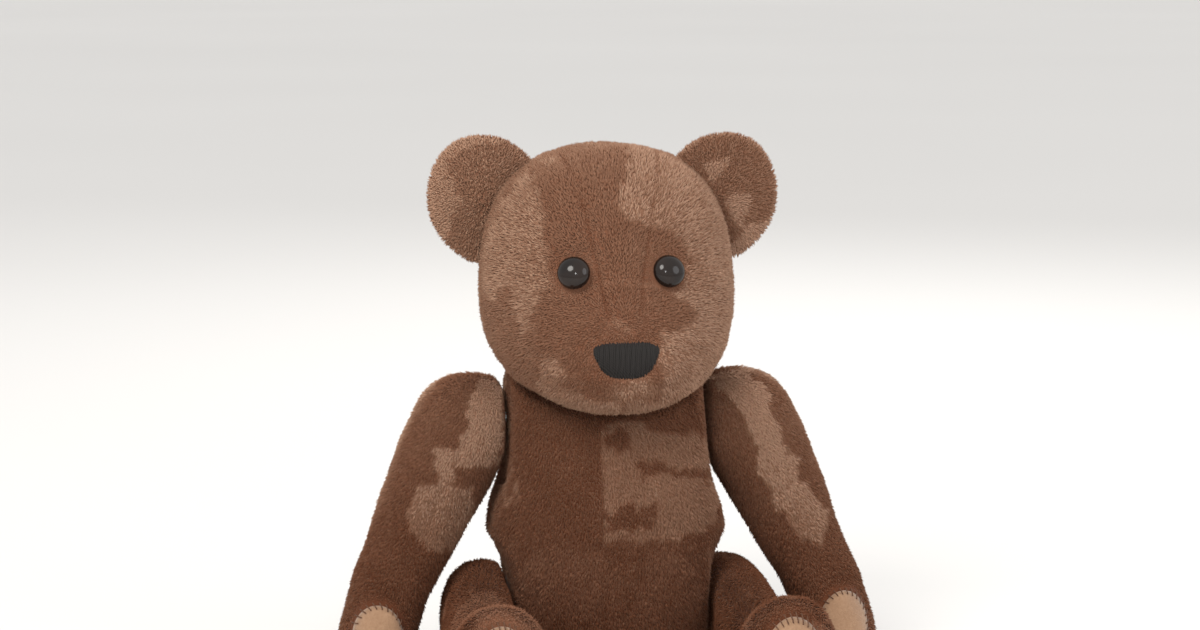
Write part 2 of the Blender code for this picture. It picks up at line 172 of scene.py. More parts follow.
camera_distance = 1.5
camera_target = Vector((-0.002, 0.0, 0.1885))
camera = bpy.data.cameras.new("camera")
camera.lens = 90
camera.sensor_width = 36
viewer = in_scene("camera", camera)
turn = math.radians(-8)
climb = math.radians(8)
toward_camera = Vector((math.sin(turn) * math.cos(climb), -math.cos(turn) * math.cos(climb),
                        math.sin(climb)))
viewer.location = camera_target + camera_distance * toward_camera
viewer.rotation_euler = (-toward_camera).to_track_quat("-Z", "Y").to_euler()
bpy.context.scene.camera = viewer

# ---------------------------------------------------------------- the torso
# A pear-shaped bag of short mohair-like plush, sewn from four panels with the seams turned
# inside, stuffed firm and closed by hand down the back. Its colour holds painted light and shade:
# light and dark patches for the crushed pile, and painted shade low on the front and in the seams.

covers = ["torso_cover", "head_cover", "arm_cover_left", "arm_cover_right",
          "leg_cover_left", "leg_cover_right"]
shoulder_height = 0.138
hip_height = 0.035
neck_height = 0.165
neck_tilt = math.radians(22)
torso_flat = 0.0496
full_pile = 0.0025


def cover_tree(*names):
    """What a ray meets on these covers."""
    points = []
    faces = []
    for name in names:
        mesh = cad_nodes[name].data
        first = len(points)
        points += [v.co.copy() for v in mesh.vertices]
        faces += [[first + i for i in face.vertices] for face in mesh.polygons]
    return BVHTree.FromPolygons(points, faces)


def wrapping(start, end, end_radius, along, around):
    """Where the rays of a grid start and point: a ball at each end of a spine, a tube between."""
    start = Vector(start)
    end = Vector(end)
    straight = (end - start).length
    axis = (end - start).normalized() if straight else Vector((0, 0, 1))
    side = axis.orthogonal().normalized()
    other = axis.cross(side)
    cap = 0.5 * math.pi * end_radius / (math.pi * end_radius + straight)
    origins = np.zeros((along + 1, around, 3))
    aims = np.zeros((along + 1, around, 3))
    for row in range(along + 1):
        share = row / along
        if share <= cap:
            rise = -0.5 * math.pi * (1 - share / cap)
            origin = start
        elif share >= 1 - cap:
            rise = 0.5 * math.pi * (share - 1 + cap) / cap
            origin = end
        else:
            rise = 0.0
            origin = start.lerp(end, (share - cap) / (1 - 2 * cap))
        for column in range(around):
            angle = 2 * math.pi * column / around
            flat = side * math.cos(angle) + other * math.sin(angle)
            aims[row, column] = flat * math.cos(rise) + axis * math.sin(rise)
            origins[row, column] = origin
    return origins, aims


def reach(tree, origins, aims):
    """How far each ray of the grid goes to the outside of the form, with the bolt holes bridged."""
    far = 0.3
    radii = np.full(origins.shape[:2], np.nan)
    for row, column in np.ndindex(radii.shape):
        origin = Vector(origins[row, column])
        aim = Vector(aims[row, column])
        hit = tree.ray_cast(origin + aim * far, -aim, far)
        if hit[0] is not None:
            radii[row, column] = far - hit[3]
    while np.isnan(radii).any():
        near = np.stack([np.roll(radii, 1, 1), np.roll(radii, -1, 1),
                         np.vstack([radii[:1], radii[:-1]]), np.vstack([radii[1:], radii[-1:]])])
        known = ~np.isnan(near)
        count = known.sum(0)
        mean = np.where(known, near, 0).sum(0) / np.maximum(count, 1)
        radii = np.where(np.isnan(radii) & (count > 0), mean, radii)
    return radii


def ease(radii, passes):
    """Evens out the radii, as cloth does over the corners of its stuffing."""
    for _ in range(passes):
        radii[0] = radii[0].mean()
        radii[-1] = radii[-1].mean()
        framed = np.vstack([radii[:1], radii, radii[-1:]])
        across = (np.roll(radii, 1, 1) + np.roll(radii, -1, 1)) / 2
        radii = 0.5 * radii + 0.25 * across + 0.125 * (framed[:-2] + framed[2:])
    return radii


def ray_tree(mesh):
    """What a ray meets on a skin."""
    return BVHTree.FromPolygons([v.co.copy() for v in mesh.vertices],
                                [tuple(face.vertices) for face in mesh.polygons])


def grid_mesh(name, points):
    """A closed skin of quads over a grid of points, with a fan of triangles at each pole."""
    rows, columns = points.shape[:2]
    inner = points[1:-1].reshape(-1, 3)
    vertices = np.vstack([points[0, :1], inner, points[-1, :1]])
    last = len(vertices) - 1
    faces = []
    for column in range(columns):
        after = (column + 1) % columns
        faces.append((0, 1 + after, 1 + column))
        top = 1 + (rows - 3) * columns
        faces.append((last, top + column, top + after))
        for row in range(rows - 3):
            low = 1 + row * columns
            faces.append((low + column, low + after, low + columns + after, low + columns + column))
    mesh = bpy.data.meshes.new(name)
    mesh.from_pydata([tuple(v) for v in vertices], [], faces)
    shape = bmesh.new()
    shape.from_mesh(mesh)
    if shape.calc_volume(signed=True) < 0:
        bmesh.ops.reverse_faces(shape, faces=shape.faces)
    shape.to_mesh(mesh)
    shape.free()
    mesh.shade_smooth()
    return mesh


def on_line(gap, width):
    """1 on a line and fading to 0 a width or two away from it."""
    return np.exp(-(gap / width) ** 2)


def gap_to_path(points, path):
    """Distance from each point to a line through the given corners."""
    best = np.full(len(points), 1.0)
    path = np.asarray(path, float)
    for a, b in zip(path[:-1], path[1:]):
        step = b - a
        share = np.clip(((points - a) @ step) / (step @ step), 0, 1)
        best = np.minimum(best, np.linalg.norm(points - a - share[:, None] * step, axis=1))
    return best


def gap_to_paths(points, *paths):
    """Distance from each point to the nearest of several lines."""
    return np.minimum.reduce([gap_to_path(points, path) for path in paths])


def swell(name, points, held):
    """Blows the cover up like its stuffing does: cloth under pressure, held at its seams and joints."""
    shrink = 0.0012
    most = 0.0034
    steps = 20
    start = grid_mesh(name, points)
    shell = in_scene(name, start)
    shape = bmesh.new()
    shape.from_mesh(start)
    shape.normal_update()
    for vertex in shape.verts:
        vertex.co -= vertex.normal * shrink
    shape.to_mesh(start)
    shape.free()
    remesh = shell.modifiers.new("voxels", "REMESH")
    remesh.mode = "VOXEL"
    remesh.voxel_size = 0.005
    graph = bpy.context.evaluated_depsgraph_get()
    even = bpy.data.meshes.new_from_object(shell.evaluated_get(graph))
    shell.modifiers.clear()
    shell.data = even
    places = np.array([v.co for v in even.vertices])
    group = shell.vertex_groups.new(name="held")
    for index, weight in enumerate(held(places)):
        if weight > 0.02:
            group.add([index], float(weight), "REPLACE")
    cloth = shell.modifiers.new("cloth", "CLOTH")
    woven = cloth.settings
    woven.quality = 4
    woven.mass = 0.25
    woven.use_pressure = True
    woven.uniform_pressure_force = 4.0
    woven.vertex_group_mass = "held"
    woven.effector_weights.gravity = 0.0
    cloth.point_cache.frame_start = 1
    cloth.point_cache.frame_end = steps
    for number in range(1, steps + 1):
        bpy.context.scene.frame_set(number)
    graph = bpy.context.evaluated_depsgraph_get()
    moved = np.array([v.co for v in shell.evaluated_get(graph).data.vertices])
    shift = moved - places
    length = np.linalg.norm(shift, axis=1)
    shift *= np.minimum(1.0, most / np.maximum(length, 1e-9))[:, None]
    triangles = [tuple(face.vertices) for face in even.polygons]
    tree = BVHTree.FromPolygons([Vector(p) for p in places + shift], triangles)
    shell.modifiers.clear()
    bpy.data.objects.remove(shell)
    bpy.context.scene.frame_set(1)
    return tree


def stuffed(name, node, spine, end_radius, along, around, held, seams):
    """The outside of a stuffed cover as a grid of points, with its seams drawn in."""
    cloth_thickness = 0.0013
    origins, aims = wrapping(*spine, end_radius, along, around)
    filling = reach(cover_tree(node.replace("cover", "stuffing")), origins, aims)
    even_out = (around / 160) ** 2
    radii = ease(reach(cover_tree(node), origins, aims), int(34 * even_out))
    tree = swell(name, origins + aims * radii[..., None], held)
    radii = ease(reach(tree, origins, aims), int(12 * even_out))
    points = (origins + aims * radii[..., None]).reshape(-1, 3)
    lumps = np.array([noise.noise(Vector(p) * 42.0) + 0.4 * noise.noise(Vector(p) * 105.0)
                      for p in points])
    depth = -0.0008 * lumps
    for path, deep, wide in seams:
        depth = depth + deep * on_line(gap_to_path(points, path), wide)
    radii = np.maximum(radii - depth.reshape(radii.shape), ease(filling, 4) + cloth_thickness)
    radii[0] = radii[0].mean()
    radii[-1] = radii[-1].mean()
    return origins + aims * radii[..., None]


def patch(x, z, outline, soft=1.6):
    """1 inside an outline in the front plane, in millimetres, and 0 outside it, with a soft edge."""
    gap = np.full(len(x), 1e9)
    inside = np.zeros(len(x), bool)
    for (x0, z0), (x1, z1) in zip(outline, outline[1:] + outline[:1]):
        share = ((x - x0) * (x1 - x0) + (z - z0) * (z1 - z0)) / ((x1 - x0) ** 2 + (z1 - z0) ** 2)
        share = np.clip(share, 0, 1)
        gap = np.minimum(gap, np.hypot(x - x0 - share * (x1 - x0), z - z0 - share * (z1 - z0)))
        crosses = (z0 > z) != (z1 > z)
        inside ^= crosses & (x < x0 + (z - z0) * (x1 - x0) / (z1 - z0 + 1e-9))
    return np.clip(0.5 + np.where(inside, gap, -gap) / soft, 0, 1)


def wander(points, scale, shift):
    """A smooth random value from -1 to 1 at each point."""
    push = Vector(shift)
    return np.array([noise.noise(Vector(p) * scale + push) for p in points])


def ragged(points, wide, wide_scale, fine, fine_scale,
           shifts=((3, 1, 8), (7, 2, 1), (5, 9, 2), (4, 4, 9))):
    """Millimetres across and up, pushed about so that an outline drawn on them comes out torn."""
    pushed = []
    for axis, first, second in ((0, *shifts[:2]), (2, *shifts[2:])):
        place = points[:, axis] * 1000 + wide * wander(points, wide_scale, first)
        pushed.append(place + fine * wander(points, fine_scale, second))
    return pushed


def mottle(points, shift):
    """Ragged blotches, 1 in a light one and 0 between: the painted light and shade of crushed pile."""
    x, y, z = shift
    wide = wander(points, 26.0, shift)
    torn = wander(points, 75.0, (y, z, x))
    fine = wander(points, 210.0, (z, x, y))
    return np.clip(0.5 + (wide + torn * 0.45 + fine * 0.25 - 0.08) * 9.0, 0, 1)


def keep(mesh, name, kind, values):
    """Stores a value for each point of a skin."""
    attribute = mesh.attributes.new(name, kind, "POINT")
    key = "vector" if kind == "FLOAT_VECTOR" else "value"
    number = np.int32 if kind == "INT" else np.float32
    attribute.data.foreach_set(key, np.asarray(values).astype(number).ravel())


def as_vertices(grid):
    """The points of a grid in the order of its mesh."""
    flat = grid.reshape(*grid.shape[:2], -1)
    inner = flat[1:-1].reshape(-1, flat.shape[2])
    return np.vstack([flat[0, :1], inner, flat[-1, :1]])


def add_piece(name, mesh, body):
    """An object that moves with a body of the bear."""
    piece = in_scene(name, mesh)
    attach(piece, body)
    return piece


plush_tones = [(0.0, (66, 33, 17)), (0.25, (98, 59, 40)), (0.5, (121, 81, 61)),
               (0.7, (137, 99, 78)), (0.85, (154, 118, 96)), (1.0, (196, 160, 136))]
plush_stops = [(place, from_screen(*colour)) for place, colour in plush_tones]

plush_back = Finish("plush_ground", {"Roughness": 0.95, "Sheen Weight": 0.12, "Sheen Roughness": 0.5,
                                     "Specular IOR Level": 0.05})
plush_tone = plush_back.node("ShaderNodeAttribute", {"attribute_name": "tone"}, {}, "Fac")
plush_fibre = plush_back.grain(900.0, 3.0, 0.65)
# The woven back is painted 0.28 darker than the tufts: painted shade down among the pile.
plush_back.dye(plush_tone - 0.28 + plush_fibre * 0.24, *plush_tones)
plush_back.emboss(plush_fibre, 0.8, 0.0008)

tone_count = 8
tuft_finishes = []
for step in range(tone_count):
    share = (step + 0.35) / tone_count
    colour = [np.interp(share, [p for p, _ in plush_stops], [c[i] for _, c in plush_stops])
              for i in range(3)]
    tuft = Finish(f"plush_pile_{step}", {
        "Base Color": (*colour, 1), "Roughness": 0.9, "Specular IOR Level": 0.05,
        "Sheen Weight": 0.22, "Sheen Roughness": 0.4, "Sheen Tint": (1.0, 0.62, 0.42, 1)})
    tuft_finishes.append(tuft.material)

tuft_mesh = bpy.data.meshes.new("tuft")
tuft_mesh.from_pydata([(0.5, 0, 0), (-0.25, 0.43, 0), (-0.25, -0.43, 0), (0.0, 0.0, 1.0)], [],
                      [(0, 2, 1), (0, 1, 3), (1, 2, 3), (2, 0, 3)])
tuft_mesh.shade_smooth()
tuft_mesh.materials.append(tuft_finishes[0])
tuft_shape = bpy.data.objects.new("tuft", tuft_mesh)


class Growth:
    """A Geometry Nodes tree, its inputs by name, and one method that adds a node."""

    def __init__(self, name, sockets, result):
        self.tree = bpy.data.node_groups.new(name, "GeometryNodeTree")
        for label, kind in sockets:
            self.tree.interface.new_socket(label, in_out="INPUT", socket_type=kind)
        self.tree.interface.new_socket(result, in_out="OUTPUT", socket_type="NodeSocketGeometry")
        self.given = self.tree.nodes.new("NodeGroupInput").outputs

    def node(self, kind, inputs, output=0, **settings):
        made = self.tree.nodes.new(kind)
        for name, value in settings.items():
            setattr(made, name, value)
        for name, value in inputs.items():
            if isinstance(value, bpy.types.NodeSocket):
                self.tree.links.new(value, made.inputs[name])
            else:
                made.inputs[name].default_value = value
        return made.outputs[output]

    def finish(self, result):
        self.tree.links.new(result, self.tree.nodes.new("NodeGroupOutput").inputs[0])


pile_sockets = [("Skin", "NodeSocketGeometry"), ("Tufts per square metre", "NodeSocketFloat"),
                ("Seed", "NodeSocketInt"), ("Tuft", "NodeSocketObject"), ("Lean", "NodeSocketFloat"),
                ("Scatter", "NodeSocketFloat"), ("Width", "NodeSocketFloat"), ("Part", "NodeSocketInt")]
pile_sockets += [(f"Tone {step}", "NodeSocketMaterial") for step in range(tone_count)]
pile = Growth("pile", pile_sockets, "Pile")


def stored(kind, name):
    """A value that each point of the skin was given."""
    return pile.node("GeometryNodeInputNamedAttribute", {"Name": name}, data_type=kind)


def same(first, second):
    """Whether two whole numbers are equal."""
    return pile.node("FunctionNodeCompare", {2: first, 3: second}, data_type="INT", operation="EQUAL")


def lucky_number(low, high, seed):
    """A random number for each tuft."""
    return pile.node("FunctionNodeRandomValue", {2: low, 3: high, "Seed": seed}, 1, data_type="FLOAT")


def lucky_vector(low, high, seed):
    """A random vector for each tuft."""
    return pile.node("FunctionNodeRandomValue", {0: low, 1: high, "Seed": seed}, data_type="FLOAT_VECTOR")


def number_maths(operation, *values):
    return pile.node("ShaderNodeMath", dict(enumerate(values)), operation=operation)


def vector_maths(operation, inputs):
    return pile.node("ShaderNodeVectorMath", inputs, operation=operation)


scatter = pile.node("GeometryNodeDistributePointsOnFaces", {
    "Mesh": pile.given["Skin"], "Selection": same(stored("INT", "part"), pile.given["Part"]),
    "Density": pile.given["Tufts per square metre"], "Seed": pile.given["Seed"]}).node
tone_step = number_maths("MULTIPLY_ADD", stored("FLOAT", "tone"), tone_count,
                         lucky_number(-0.55, 0.55, 5))
tone_step = number_maths("MINIMUM", number_maths("MAXIMUM", tone_step, 0.0), tone_count - 1)
tone_step = pile.node("FunctionNodeFloatToInt", {0: tone_step}, rounding_mode="FLOOR")
marked = pile.node("GeometryNodeStoreNamedAttribute", {
    "Geometry": scatter.outputs["Points"], "Name": "tone_step", "Value": tone_step},
    data_type="INT", domain="POINT")
combed_over = vector_maths("SCALE", {0: stored("FLOAT_VECTOR", "nap"), "Scale": pile.given["Lean"]})
leaning = vector_maths("ADD", {0: scatter.outputs["Normal"], 1: combed_over})
stray = vector_maths("SCALE", {0: lucky_vector((-1, -1, -1), (1, 1, 1), 9), "Scale": pile.given["Scatter"]})
spun = pile.node("FunctionNodeEulerToRotation", {0: lucky_vector((0, 0, 0), (0, 0, 6.283), 13)})
aimed = pile.node("FunctionNodeAlignRotationToVector", {
    "Rotation": spun, "Vector": vector_maths("ADD", {0: leaning, 1: stray})}, axis="Z")
length_here = stored("FLOAT", "pile_length")
girth = pile.node("ShaderNodeCombineXYZ", {
    "X": pile.given["Width"], "Y": pile.given["Width"],
    "Z": number_maths("MULTIPLY", length_here, lucky_number(0.7, 1.25, 17))})
long_enough = pile.node("FunctionNodeCompare", {0: length_here, 1: 0.0004},
                        data_type="FLOAT", operation="GREATER_THAN")
planted = pile.node("GeometryNodeInstanceOnPoints", {
    "Points": marked, "Selection": long_enough, "Rotation": aimed, "Scale": girth,
    "Instance": pile.node("GeometryNodeObjectInfo", {"Object": pile.given["Tuft"]}, "Geometry")})
dyed = pile.node("GeometryNodeRealizeInstances", {0: planted})
for step in range(tone_count):
    dyed = pile.node("GeometryNodeSetMaterial", {
        "Geometry": dyed, "Selection": same(stored("INT", "tone_step"), step),
        "Material": pile.given[f"Tone {step}"]})
pile.finish(dyed)


def made_by(growth, data, values, name):
    """The mesh that a geometry tree makes of some data, through a holder that is thrown away."""
    holder = in_scene(f"{name}_holder", data)
    modifier = holder.modifiers.new(name, "NODES")
    modifier.node_group = growth.tree
    for item in growth.tree.interface.items_tree:
        if item.in_out == "INPUT" and item.name in values:
            modifier[item.identifier] = values[item.name]
    graph = bpy.context.evaluated_depsgraph_get()
    mesh = bpy.data.meshes.new_from_object(holder.evaluated_get(graph))
    mesh.name = name
    bpy.data.objects.remove(holder)
    return mesh


def grow_pile(name, skin, body, seed, parts, density):
    """Plants the tufts of a skin, in as many pieces as it has parts."""
    for number in range(parts):
        values = {"Tufts per square metre": density, "Seed": seed + number, "Tuft": tuft_shape,
                  "Lean": 1.25, "Scatter": 0.42, "Width": 0.00105, "Part": number}
        values.update({f"Tone {step}": tuft_finishes[step] for step in range(tone_count)})
        label = name if parts == 1 else f"{name}_{number + 1}"
        mesh = made_by(pile, skin, values, label)
        for stale in ("tone_step", "nap", "part", "tone", "pile_length"):
            if stale in mesh.attributes:
                mesh.attributes.remove(mesh.attributes[stale])
        add_piece(label, mesh, body)


def room_for_pile(points, node):
    """The longest pile with room to stand. In a joint there is only a short ring near the edge."""
    tree = cover_tree(*[name for name in covers if name != node])
    gap = np.array([tree.find_nearest(Vector(p))[3] for p in points])
    clear = gap > 0.0013
    outside = KDTree(int(clear.sum()))
    for number, point in enumerate(points[clear]):
        outside.insert(point, number)
    outside.balance()
    ring = np.array([outside.find(p)[2] < 0.0045 for p in points])
    return np.where(clear, np.maximum(0.42 * gap, 0.0012), np.where(ring, 0.0005, 0.0))


def dress(label, skin, tone, length, direction, body, node, seed, part=None,
          density=1.45e6):
    """Plush in place of a CAD solid: a woven back and a pile of this tone and length, combed one way."""
    several = part is not None
    keep(skin, "tone", "FLOAT", np.clip(tone, 0.02, 0.98))
    keep(skin, "pile_length", "FLOAT", length)
    keep(skin, "part", "INT", part if several else 0 * tone)
    normals = np.array([v.normal for v in skin.vertices])
    along = direction - (direction * normals).sum(1)[:, None] * normals
    size = np.linalg.norm(along, axis=1)
    keep(skin, "nap", "FLOAT_VECTOR", along / np.maximum(size, 0.25)[:, None])
    skin.materials.append(plush_back.material)
    fabric = add_piece(label.replace("*", "fabric"), skin, body)
    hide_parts(node)
    grow_pile(label.replace("*", "pile"), skin, body, seed, 2 if several else 1, density)


def combed(across, back, up):
    """One direction for each point, from what may be arrays or single numbers."""
    return np.column_stack(np.broadcast_arrays(across, back, up))


torso_front_seam = [(-0.0072, -0.040, 0.165), (-0.0078, -0.056, 0.10), (-0.0076, -0.057, 0.06),
                    (-0.006, -0.048, 0.008)]
torso_back_seam = [(0, 0.046, 0.160), (0, 0.053, 0.11), (0, 0.053, 0.05), (0, 0.046, 0.008)]
torso_side_seams = [[(side * 0.050, 0.004, 0.172), (side * 0.0615, 0, 0.10), (side * 0.061, 0, 0.06)]
                    for side in (-1, 1)]


def torso_held(places):
    at_joint = (np.abs(places[:, 0]) > 0.0455) & (
        (np.hypot(places[:, 1], places[:, 2] - shoulder_height) < 0.036) |
        (np.hypot(places[:, 1], places[:, 2] - hip_height) < 0.040))
    at_neck = places[:, 2] > 0.150
    on_seat = places[:, 2] < 0.006
    seam = gap_to_paths(places, torso_front_seam, torso_back_seam)
    return np.maximum(on_line(seam, 0.004), (at_joint | at_neck | on_seat).astype(float))


torso_seams = [(torso_front_seam, 0.0012, 0.0028), (torso_back_seam, 0.0012, 0.0028)]
torso_seams += [(path, 0.0008, 0.003) for path in torso_side_seams]
torso_grid = stuffed("torso_fabric", "torso_cover", ((0, -0.001, 0.058), (0, 0.001, 0.118)), 0.055,
                     200, 220, torso_held, torso_seams)
at_shoulder = np.hypot(torso_grid[..., 1], torso_grid[..., 2] - shoulder_height) < 0.034
joint_flat = at_shoulder | (torso_grid[..., 2] < 0.066)
side_limit = np.where(joint_flat, torso_flat, 0.2)
torso_grid[..., 0] = np.clip(torso_grid[..., 0], -side_limit, side_limit)
neck_plane = neck_height + math.tan(neck_tilt) * torso_grid[..., 1] - 0.0005
torso_grid[..., 2] = np.clip(torso_grid[..., 2], 0.0, neck_plane)
torso_skin = grid_mesh("torso_fabric", torso_grid)
torso_at = as_vertices(torso_grid)
x, y, z = (torso_at * 1000).T
ahead = np.clip((-y - 12) / 14, 0, 1)
torn_x, torn_z = ragged(torso_at, 5.0, 110.0, 3.2, 290.0)
# Painted light and shade: light and dark patches of crushed pile on the front, random ones elsewhere.
chest_light = [(-30, 141), (11, 141), (50, 131), (56, 104), (44, 85), (15, 84), (-30, 86)]
chest_dark = [[(-8, 102), (17, 101), (17, 91), (-8, 92)],
              [(11, 122), (54, 114), (54, 108), (13, 117)],
              [(-6, 136), (4, 136), (4, 129), (-6, 129)]]
chest = patch(torn_x, torn_z, chest_light) * np.clip(0.5 + (x + 7.8) / 0.8, 0, 1)
for outline in chest_dark:
    chest = chest * (1 - patch(torn_x, torn_z, outline))
armpit = patch(torn_x, torn_z, [(-64, 116), (-48, 116), (-50, 101), (-62, 98)])
belly = 0.45 * mottle(torso_at, (11.0, 4.0, 2.0)) * np.clip((88 - z) / 14, 0, 1)
elsewhere = mottle(torso_at, (2.0, 7.0, 5.0))
lit = ahead * np.clip(np.maximum.reduce([chest, armpit, belly]), 0, 1) + (1 - ahead) * elsewhere
seam = gap_to_paths(torso_at, torso_front_seam, torso_back_seam)
# Painted shade: the patches fade and the front darkens towards the bottom, the seams are darker, and the
# whole torso is set darker than the head, partly its own brown and partly painted shade.
torso_tone = 0.43 + 0.36 * lit * np.clip(z / 90, 0.5, 1) + 0.05 * wander(torso_at, 60.0, (1, 1, 1))
torso_tone = torso_tone - 0.26 * np.clip((75 - z) / 60, 0, 1) * ahead
torso_tone = torso_tone + 0.06 * (1 - ahead) - 0.16 * on_line(seam, 0.0011)
torso_length = full_pile * (1 - 0.45 * on_line(seam, 0.0016))
beside_stitches = np.exp(-(gap_to_path(torso_at, torso_back_seam) / 0.0034) ** 4)
closed_by_hand = (y > 0) * (z > 45) * (z < 141) * beside_stitches
torso_length = torso_length * (1 - 0.72 * closed_by_hand)
torso_length = np.minimum(torso_length, room_for_pile(torso_at, "torso_cover"))
torso_length = np.where(z < 1.5, 0.0, np.minimum(torso_length, 0.0006 + z * 0.0005))
dress("torso_*", torso_skin, torso_tone, torso_length, combed(0.25 * np.sin(z / 17), 0, -1), "torso",
      "torso_cover", 21, part=y > 0)

# ---------------------------------------------------------------- the five joints
# Each limb and the head turn on a pair of pressed-hardboard discs, one inside each cover,
# clamped on steel washers by a zinc-plated bolt and locknut. The fillings are white polyester.

board = Finish("hardboard_face", {"Roughness": 0.78, "Specular IOR Level": 0.3})
board_fibre = board.grain(700.0, 5.0, 0.7)
board.dye(board_fibre, (0.3, (96, 66, 42)), (0.7, (148, 110, 74)))
board.emboss(board_fibre, 0.5, 0.0004)

zinc = Finish("zinc_steel", {"Metallic": 1.0})
zinc_bloom = zinc.grain(260.0, 4.0, 0.6)
zinc.dye(zinc_bloom, (0.3, (170, 172, 176)), (0.75, (214, 214, 212)))
zinc.feed("Roughness", 0.24 + zinc_bloom * 0.22)

wadding = Finish("white_wadding", {"Roughness": 0.95, "Sheen Weight": 0.4, "Specular IOR Level": 0.1})
wadding_curl = wadding.grain(420.0, 6.0, 0.75)
wadding.dye(wadding_curl, (0.25, (214, 211, 203)), (0.75, (244, 243, 238)))
wadding.emboss(wadding_curl, 1.0, 0.002)

washer_nylon = Finish("milky_nylon", {"Roughness": 0.45, "Specular IOR Level": 0.5})
nylon_cloud = washer_nylon.grain(180.0, 2.0)
washer_nylon.dye(nylon_cloud, (0.3, (226, 224, 216)), (0.7, (240, 239, 233)))
washer_nylon.emboss(nylon_cloud, 0.2, 0.0002)

for name, node in cad_nodes.items():
    if name.endswith("_disc"):
        node.material_slots[0].material = board.material
    elif name.startswith("eye_washer"):
        node.material_slots[0].material = washer_nylon.material
    elif name.endswith(("_washer", "_bolt", "_nut")):
        node.material_slots[0].material = zinc.material
    elif "stuffing" in name:
        node.material_slots[0].material = wadding.material

# ---------------------------------------------------------------- the head
# Two cheek panels and a gusset that runs from the nose over the crown to the neck, in the
# same plush with its painted light and shade patches, stuffed hard. Thread pulled through the
# head sinks the eyes in.

eye_places = {"left": ((0.02275, -0.0582, 0.217), (0.219, -0.92, 0.325)),
              "right": ((-0.02275, -0.0582, 0.217), (-0.219, -0.92, 0.325))}
gusset_seams = [[(side * 0.006, -0.0785, 0.190), (side * 0.0085, -0.066, 0.202),
                 (side * 0.0105, -0.0585, 0.215), (side * 0.016, -0.050, 0.245),
                 (side * 0.022, -0.030, 0.266), (side * 0.025, 0.0, 0.2745),
                 (side * 0.024, 0.030, 0.262), (side * 0.019, 0.0475, 0.225),
                 (side * 0.012, 0.040, 0.188)]
                for side in (-1, 1)]
chin_seam = [(0, -0.083, 0.168), (0, -0.076, 0.156), (0, -0.055, 0.148), (0, -0.030, 0.150)]
brow_seam = [(-0.0075, -0.060, 0.2125), (0.005, -0.0605, 0.2112), (0.0165, -0.060, 0.2102)]

nose_height = 177.25
nose_half_wide = 17.6
nose_half_high = 8.75
rim_points = 120
nose_rim = []
for step in range(rim_points):
    angle = 2 * math.pi * step / rim_points
    u = math.cos(angle)
    v = math.sin(angle)
    grow_by = 1 + 0.16 * math.sin(2 * math.atan2(abs(v), abs(u))) ** 2
    taper = 1 - 0.42 * max(0.0, (1 - v * grow_by) / 2) ** 1.2
    nose_rim.append((u * grow_by * taper * nose_half_wide, nose_height + v * grow_by * nose_half_high))


def above_neck(places):
    """How far a point is above the plane in which the head turns."""
    return (places[..., 2] - neck_height) * math.cos(neck_tilt) - places[..., 1] * math.sin(neck_tilt)


def head_held(places):
    eyes = [np.linalg.norm(places - np.array(place), axis=1) for place, _ in eye_places.values()]
    neck = above_neck(places) < 0.006
    muzzle = np.linalg.norm(places - np.array((0, -0.080, 0.178)), axis=1) < 0.017
    seam = on_line(gap_to_paths(places, *gusset_seams), 0.004)
    return np.maximum.reduce([0.7 * seam, np.minimum(*eyes) < 0.009, neck, muzzle])


head_seams = [(path, 0.0008, 0.0024) for path in gusset_seams]
head_seams += [(chin_seam, 0.0011, 0.0028), (brow_seam, 0.0005, 0.0016)]
head_seams += [([place, (place[0], place[1] - 0.004, place[2] + 0.001)], 0.0016, 0.0125)
               for place, _ in eye_places.values()]
head_middle = (0, -0.014, 0.208)
head_grid = stuffed("head_fabric", "head_cover", (head_middle, head_middle), 0.06, 190, 250,
                    head_held, head_seams)
lift = np.maximum(0.0, 0.0005 - above_neck(head_grid))
head_grid[..., 1] -= lift * math.sin(neck_tilt)
head_grid[..., 2] += lift * math.cos(neck_tilt)
head_skin = grid_mesh("head_fabric", head_grid)
head_at = as_vertices(head_grid)
x, y, z = (head_at * 1000).T
torn_x, torn_z = ragged(head_at, 4.0, 95.0, 2.2, 300.0)
# Painted light and shade: the light patches copy the crushed pile's light, the chin band is a painted
# highlight with a painted dark blotch in it, and the spots under and above the nose are painted highlights.
wedge = patch(torn_x, torn_z, [(-41, 262), (-54, 244), (-66, 225), (-66, 208), (-60, 203), (-51, 207),
                               (-46, 188), (-42, 188), (-39, 208), (-31, 212), (-34, 222), (-34, 236),
                               (-37, 250)])
crown_spot = np.clip(1.5 - np.hypot(torn_x + 30, torn_z - 268) / 3.5, 0, 1)
cheek = patch(torn_x, torn_z, [(13, 280), (3, 257), (1, 251), (4, 243), (11, 240), (27, 234),
                               (33, 222), (32, 216), (27, 206), (36, 193), (15, 190), (17, 187),
                               (14, 182), (18, 172), (16, 157), (20, 146), (70, 146), (80, 186),
                               (80, 290), (20, 290)])
chin = patch(torn_x, torn_z, [(-38, 177), (-37, 158), (-27, 146), (-2, 140), (24, 138), (24, 157),
                              (-3, 157), (-17, 158), (-27, 166), (-31, 177)])
chin_dark = np.clip(1.3 - np.hypot((torn_x + 21) / 11, (torn_z - 166) / 5.5), 0, 1)
painted_glint_under_nose = np.clip(1.4 - np.hypot((torn_x - 4) / 10, (torn_z - 163) / 6.5), 0, 1)
painted_glint_on_bridge = np.clip(1.3 - np.hypot((torn_x + 1) / 8, (torn_z - 192.5) / 3), 0, 1)
face = np.maximum.reduce([wedge, crown_spot, cheek, chin * (1 - chin_dark), 1.1 * painted_glint_under_nose,
                          0.7 * painted_glint_on_bridge])
ahead = np.clip((-y - 4) / 14, 0, 1)
lit = ahead * face + (1 - ahead) * mottle(head_at, (8.0, 3.0, 6.0))
